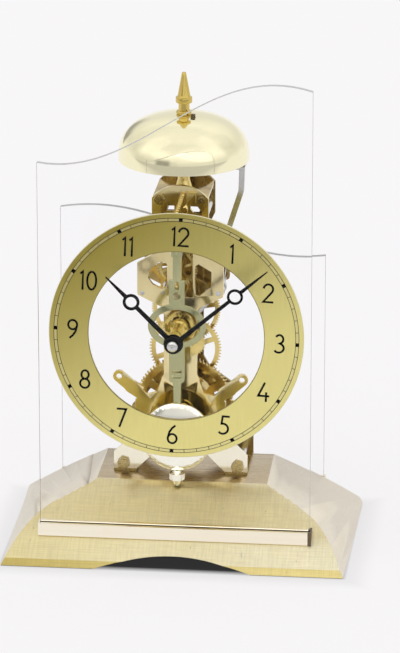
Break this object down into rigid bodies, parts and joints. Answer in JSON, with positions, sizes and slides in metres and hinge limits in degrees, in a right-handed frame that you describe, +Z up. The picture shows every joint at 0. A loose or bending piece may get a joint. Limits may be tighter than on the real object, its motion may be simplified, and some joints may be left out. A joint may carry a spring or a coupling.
{
  "type": "skeleton table clock",
  "caption": "Skeleton table clock: flared base, two clear panels with waved tops, open ring dial, short pendulum, wheel train between plates, bell with finial on top",
  "frame": {"origin": "middle of the base outline on the table plane", "axes": "+X to the right seen from the dial side, +Y away from the viewer who reads the dial, +Z up"},
  "size_m": [0.171, 0.1056, 0.2422],
  "materials": {
    "base_gilt": "satin champagne gilt",
    "panel_brushed": "cross-hatched brushed and lacquered",
    "felt": "dark felt",
    "rail_gilt": "polished pale gilt",
    "clear_glass": "clear with a faint cool tint",
    "plate_brass": "satin greyish brass",
    "steel": "bright steel",
    "nut_bronze": "darker bronze tone",
    "dial_brass": "satin brass",
    "wheel_brass": "bright brass",
    "bell_brass": "polished pale gold",
    "spring_steel": "blued spring steel",
    "polished_brass": "polished golden brass",
    "hand_black": "black",
    "strap_brass": "satin pale brass",
    "bob_brass": "polished pale brass"
  },
  "bodies": {
    "frame": {"base_body": "base_gilt", "front_panel": "panel_brushed", "felt_pads": "felt", "front_rail": "rail_gilt", "rear_rail": "rail_gilt", "foot_strips": "plate_brass", "movement_screws": "steel", "front_plate": "plate_brass", "back_plate": "plate_brass", "pillars": "steel", "foot_nuts": "nut_bronze", "plate_screws": "steel", "dial_ring": "dial_brass", "dial_posts": "wheel_brass", "bell_bridge": "wheel_brass", "bridge_screws": "nut_bronze", "bell_post": "wheel_brass", "bell": "bell_brass", "finial": "bell_brass", "suspension_block": "wheel_brass", "leaning_screw": "wheel_brass", "suspension_spring": "spring_steel", "click_spring": "spring_steel", "hammer_spring": "spring_steel", "click_screw": "steel", "minute_stud": "steel"},
    "front_pane": {"front_glass": "clear_glass"},
    "rear_pane": {"rear_glass": "clear_glass"},
    "barrel": {"barrel_drum": "polished_brass", "great_wheel": "wheel_brass", "barrel_cover": "polished_brass", "mainspring": "spring_steel"},
    "winding": {"barrel_arbor": "steel", "ratchet_wheel": "wheel_brass"},
    "click_lever": {"click": "wheel_brass"},
    "intermediate": {"intermediate_wheel": "wheel_brass", "intermediate_arbor": "steel"},
    "centre": {"centre_wheel": "wheel_brass", "centre_arbor": "steel", "cannon_pinion": "steel", "strike_cam": "wheel_brass", "minute_hand": "hand_black", "hand_nut": "steel"},
    "third": {"third_wheel": "wheel_brass", "third_arbor": "steel"},
    "escape": {"escape_wheel": "wheel_brass", "escape_arbor": "steel"},
    "pallets": {"anchor": "steel", "anchor_arbor": "steel", "crutch": "wheel_brass"},
    "minute_work": {"minute_wheel": "wheel_brass"},
    "hour": {"hour_wheel": "polished_brass", "hour_hand": "hand_black"},
    "pendulum": {"pendulum_strap": "strap_brass", "pendulum_rod": "strap_brass", "pendulum_bob": "bob_brass"},
    "rating": {"rating_nut": "wheel_brass"},
    "hammer": {"hammer_arm": "steel", "hammer_head": "steel", "hammer_arbor": "steel"}
  },
  "joints": [
    {"name": "centre_turn", "type": "hinge", "parent": "frame", "child": "centre", "pos_m": [-0.0015, 0.01975, 0.109], "axis": [0, 1, 0], "continuous": true},
    {"name": "intermediate_turn", "type": "hinge", "parent": "frame", "child": "intermediate", "pos_m": [-0.0015, 0.01975, 0.0895], "axis": [0, 1, 0], "continuous": true},
    {"name": "barrel_turn", "type": "hinge", "parent": "frame", "child": "barrel", "pos_m": [-0.0015, 0.01975, 0.0619], "axis": [0, 1, 0], "continuous": true},
    {"name": "third_turn", "type": "hinge", "parent": "frame", "child": "third", "pos_m": [-0.0101, 0.01975, 0.12504], "axis": [0, 1, 0], "continuous": true},
    {"name": "escape_turn", "type": "hinge", "parent": "frame", "child": "escape", "pos_m": [-0.00401, 0.01975, 0.13526], "axis": [0, 1, 0], "continuous": true},
    {"name": "minute_work_turn", "type": "hinge", "parent": "frame", "child": "minute_work", "pos_m": [0.00387, 0.001, 0.10104], "axis": [0, 1, 0], "continuous": true},
    {"name": "hour_turn", "type": "hinge", "parent": "frame", "child": "hour", "pos_m": [-0.0015, -0.001, 0.109], "axis": [0, 1, 0], "continuous": true},
    {"name": "pendulum_swing", "type": "hinge", "parent": "frame", "child": "pendulum", "pos_m": [-0.0015, -0.0114, 0.156], "axis": [0, 1, 0], "range_deg": [-2.5, 2.5]},
    {"name": "pallet_rock", "type": "hinge", "parent": "frame", "child": "pallets", "pos_m": [-0.0015, 0.01975, 0.156], "axis": [0, 1, 0], "range_deg": [-2.6, 2.6]},
    {"name": "rating_turn", "type": "hinge", "parent": "pendulum", "child": "rating", "pos_m": [-0.0015, -0.0114, 0.035], "axis": [0, 0, 1], "continuous": true},
    {"name": "hammer_lift", "type": "hinge", "parent": "frame", "child": "hammer", "pos_m": [0.0172, 0.01975, 0.1255], "axis": [0, 1, 0], "range_deg": [-8, 0], "stiffness_Nm_per_rad": 0.002, "springref_deg": 5.73},
    {"name": "winding_turn", "type": "hinge", "parent": "frame", "child": "winding", "pos_m": [-0.0015, 0.01975, 0.0619], "axis": [0, 1, 0], "continuous": true},
    {"name": "click_lift", "type": "hinge", "parent": "frame", "child": "click_lever", "pos_m": [0.0121, 0.0372, 0.0705], "axis": [0, 1, 0], "range_deg": [-8, 0], "stiffness_Nm_per_rad": 0.0005, "springref_deg": 11.46},
    {"name": "front_glass_lift", "type": "slide", "parent": "frame", "child": "front_pane", "axis": [0, 0, 1], "range_m": [0, 0.05]},
    {"name": "rear_glass_lift", "type": "slide", "parent": "frame", "child": "rear_pane", "axis": [0, 0, 1], "range_m": [0, 0.03]}
  ],
  "couplings": [
    {"joint": "intermediate_turn", "follows": "centre_turn", "ratio": -0.11429},
    {"joint": "barrel_turn", "follows": "centre_turn", "ratio": 0.017143},
    {"joint": "third_turn", "follows": "centre_turn", "ratio": -12},
    {"joint": "escape_turn", "follows": "centre_turn", "ratio": 133.71},
    {"joint": "minute_work_turn", "follows": "centre_turn", "ratio": -0.33333},
    {"joint": "hour_turn", "follows": "centre_turn", "ratio": 0.083333},
    {"joint": "pallet_rock", "follows": "pendulum_swing", "ratio": 1}
  ]
}
